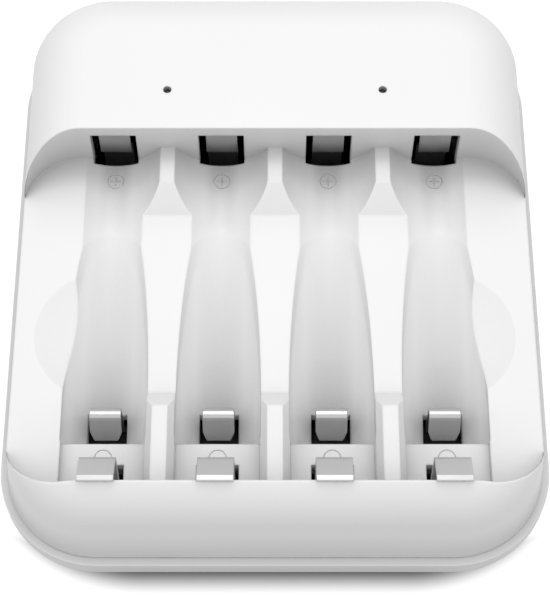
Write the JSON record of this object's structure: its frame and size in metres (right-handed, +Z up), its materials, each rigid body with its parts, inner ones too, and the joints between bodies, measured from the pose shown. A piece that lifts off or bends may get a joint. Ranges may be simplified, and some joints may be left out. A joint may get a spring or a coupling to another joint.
{
  "type": "battery charger",
  "caption": "Low rounded desktop charger with an open bay of side-by-side cell troughs, sprung leaf contacts in front and windowed plates behind.",
  "frame": {"origin": "middle of the case's footprint, on the surface it stands on", "axes": "+X to the right across the slots, +Y from the front lip to the head block, +Z up"},
  "size_m": [0.0758, 0.0866, 0.0225],
  "materials": {
    "white_abs": "moulded satin white ABS",
    "nickel_plate": "nickel-plated pressed strip",
    "board_laminate": "black solder mask on laminate",
    "black_epoxy": "moulded black epoxy",
    "ferrite": "ground ferrite",
    "can_aluminium": "drawn can",
    "lamp_resin": "cast clear resin",
    "clear_acrylic": "moulded clear acrylic",
    "screw_steel": "zinc-plated steel"
  },
  "bodies": {
    "charger": {"upper_case": "white_abs", "lower_case": "white_abs", "usb_inlet": "nickel_plate", "case_screws": "screw_steel", "main_board": "board_laminate", "charge_controller": "black_epoxy", "power_inductors": "ferrite", "switch_transistors": "black_epoxy", "smoothing_capacitors": "can_aluminium", "lamp_1": "lamp_resin", "lamp_2": "lamp_resin", "light_pipe_1": "clear_acrylic", "light_pipe_2": "clear_acrylic", "positive_contact_1": "nickel_plate", "positive_contact_2": "nickel_plate", "positive_contact_3": "nickel_plate", "positive_contact_4": "nickel_plate"},
    "aa_spring_1": {"aa_contact_1": "nickel_plate"},
    "aaa_spring_1": {"aaa_contact_1": "nickel_plate"},
    "aa_spring_2": {"aa_contact_2": "nickel_plate"},
    "aaa_spring_2": {"aaa_contact_2": "nickel_plate"},
    "aa_spring_3": {"aa_contact_3": "nickel_plate"},
    "aaa_spring_3": {"aaa_contact_3": "nickel_plate"},
    "aa_spring_4": {"aa_contact_4": "nickel_plate"},
    "aaa_spring_4": {"aaa_contact_4": "nickel_plate"}
  },
  "joints": [
    {"name": "aa_spring_1_give", "type": "hinge", "parent": "charger", "child": "aa_spring_1", "pos_m": [-0.0231, -0.03485, 0.00465], "axis": [1, 0, 0], "range_deg": [0, 1.52], "stiffness_Nm_per_rad": 0.3},
    {"name": "aaa_spring_1_give", "type": "hinge", "parent": "charger", "child": "aaa_spring_1", "pos_m": [-0.0231, -0.02334, 0.00465], "axis": [1, 0, 0], "range_deg": [0, 20.9], "stiffness_Nm_per_rad": 0.03},
    {"name": "aa_spring_2_give", "type": "hinge", "parent": "charger", "child": "aa_spring_2", "pos_m": [-0.0077, -0.03485, 0.00465], "axis": [1, 0, 0], "range_deg": [0, 1.52], "stiffness_Nm_per_rad": 0.3},
    {"name": "aaa_spring_2_give", "type": "hinge", "parent": "charger", "child": "aaa_spring_2", "pos_m": [-0.0077, -0.02334, 0.00465], "axis": [1, 0, 0], "range_deg": [0, 20.9], "stiffness_Nm_per_rad": 0.03},
    {"name": "aa_spring_3_give", "type": "hinge", "parent": "charger", "child": "aa_spring_3", "pos_m": [0.0077, -0.03485, 0.00465], "axis": [1, 0, 0], "range_deg": [0, 1.52], "stiffness_Nm_per_rad": 0.3},
    {"name": "aaa_spring_3_give", "type": "hinge", "parent": "charger", "child": "aaa_spring_3", "pos_m": [0.0077, -0.02334, 0.00465], "axis": [1, 0, 0], "range_deg": [0, 20.9], "stiffness_Nm_per_rad": 0.03},
    {"name": "aa_spring_4_give", "type": "hinge", "parent": "charger", "child": "aa_spring_4", "pos_m": [0.0231, -0.03485, 0.00465], "axis": [1, 0, 0], "range_deg": [0, 1.52], "stiffness_Nm_per_rad": 0.3},
    {"name": "aaa_spring_4_give", "type": "hinge", "parent": "charger", "child": "aaa_spring_4", "pos_m": [0.0231, -0.02334, 0.00465], "axis": [1, 0, 0], "range_deg": [0, 20.9], "stiffness_Nm_per_rad": 0.03}
  ]
}
